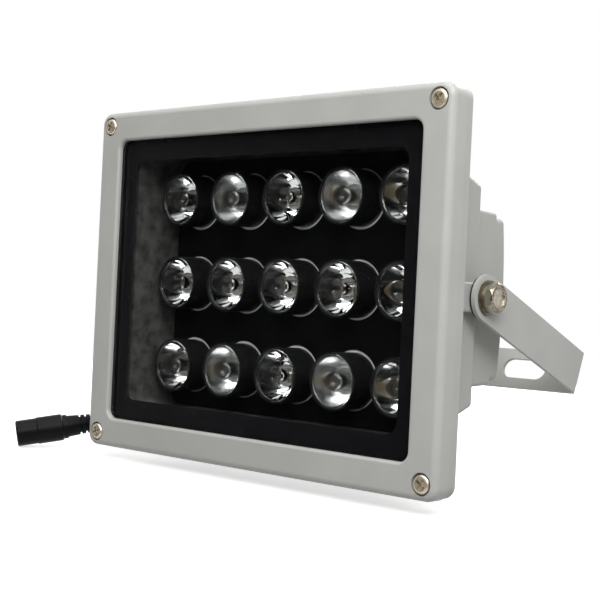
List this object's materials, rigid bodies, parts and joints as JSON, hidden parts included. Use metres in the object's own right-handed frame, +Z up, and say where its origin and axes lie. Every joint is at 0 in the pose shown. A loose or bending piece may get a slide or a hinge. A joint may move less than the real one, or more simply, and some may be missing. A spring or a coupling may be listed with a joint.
{
  "type": "infrared illuminator",
  "caption": "Square-cornered infrared floodlight: a die-cast grey body with lensed emitters behind glass, tilting in a steel U bracket, with a short lead.",
  "frame": {"origin": "the centre of the outer face of the bracket's base, the face that lies on a wall, pole plate or ceiling", "axes": "+Z up with the window upright as pictured, the window faces -Y, +X is to the right when looking along +Y; the bracket drops backwards by 21.7 degrees"},
  "size_m": [0.2238, 0.1684, 0.1466],
  "materials": {
    "housing_grey": "warm light grey powder coat, satin",
    "bracket_grey": "grey powder coat on steel sheet, satin",
    "nickel": "nickel-plated steel, slightly warm and worn",
    "glass": "clear toughened glass with a printed black border on its back",
    "black_rubber": "matt black silicone",
    "pad_grey": "grey thermal pad",
    "board_white": "white solder mask on an aluminium board",
    "board_green": "green circuit board with parts",
    "emitter_resin": "dark clear resin dome on a white package",
    "panel_black": "thin matt black sheet",
    "holder_black": "black moulded plastic",
    "lens_clear": "clear moulded acrylic with a polished taper",
    "lens_domed": "clear moulded acrylic with a crowned face",
    "lens_frosted": "frosted moulded acrylic with a crowned face",
    "black_plastic": "black moulded plastic, satin",
    "cord_black": "black cord jacket, satin",
    "tie_black": "black strap",
    "brass_contact": "tinned brass contact"
  },
  "bodies": {
    "bracket": {"mounting_bracket": "bracket_grey", "lead_cord_upper": "cord_black", "lead_cord_coil": "cord_black", "coil_tie": "tie_black", "lead_cord_lower": "cord_black", "connector_body": "black_plastic", "connector_socket": "brass_contact"},
    "lamp": {"front_frame": "housing_grey", "frame_screws": "nickel", "glass_window": "glass", "glass_gasket": "black_rubber", "rear_housing": "housing_grey", "thermal_pad": "pad_grey", "led_board": "board_white", "led_emitters": "emitter_resin", "cover_panel": "panel_black", "driver_board": "board_green", "driver_board_screws": "nickel", "driver_cover_gasket": "black_rubber", "driver_cover": "housing_grey", "driver_cover_screws": "nickel", "gland_body": "black_plastic", "gland_nut": "black_plastic", "gland_locknut": "black_plastic", "gland_seal": "black_rubber", "cord_tail": "cord_black", "friction_pads": "black_rubber", "flat_washers": "nickel", "spring_washers": "nickel", "pivot_bolts": "nickel", "lens_holder_r1c1": "holder_black", "lens_r1c1": "lens_domed", "lens_holder_r1c2": "holder_black", "lens_r1c2": "lens_frosted", "lens_holder_r1c3": "holder_black", "lens_r1c3": "lens_clear", "lens_holder_r1c4": "holder_black", "lens_r1c4": "lens_frosted", "lens_holder_r1c5": "holder_black", "lens_r1c5": "lens_domed", "lens_holder_r2c1": "holder_black", "lens_r2c1": "lens_clear", "lens_holder_r2c2": "holder_black", "lens_r2c2": "lens_clear", "lens_holder_r2c3": "holder_black", "lens_r2c3": "lens_clear", "lens_holder_r2c4": "holder_black", "lens_r2c4": "lens_clear", "lens_holder_r2c5": "holder_black", "lens_r2c5": "lens_clear", "lens_holder_r3c1": "holder_black", "lens_r3c1": "lens_domed", "lens_holder_r3c2": "holder_black", "lens_r3c2": "lens_frosted", "lens_holder_r3c3": "holder_black", "lens_r3c3": "lens_clear", "lens_holder_r3c4": "holder_black", "lens_r3c4": "lens_frosted", "lens_holder_r3c5": "holder_black", "lens_r3c5": "lens_domed"}
  },
  "joints": [
    {"name": "tilt", "type": "hinge", "parent": "bracket", "child": "lamp", "pos_m": [0, -0.07182, 0.02858], "axis": [1, 0, 0], "range_deg": [-85, 60]}
  ]
}
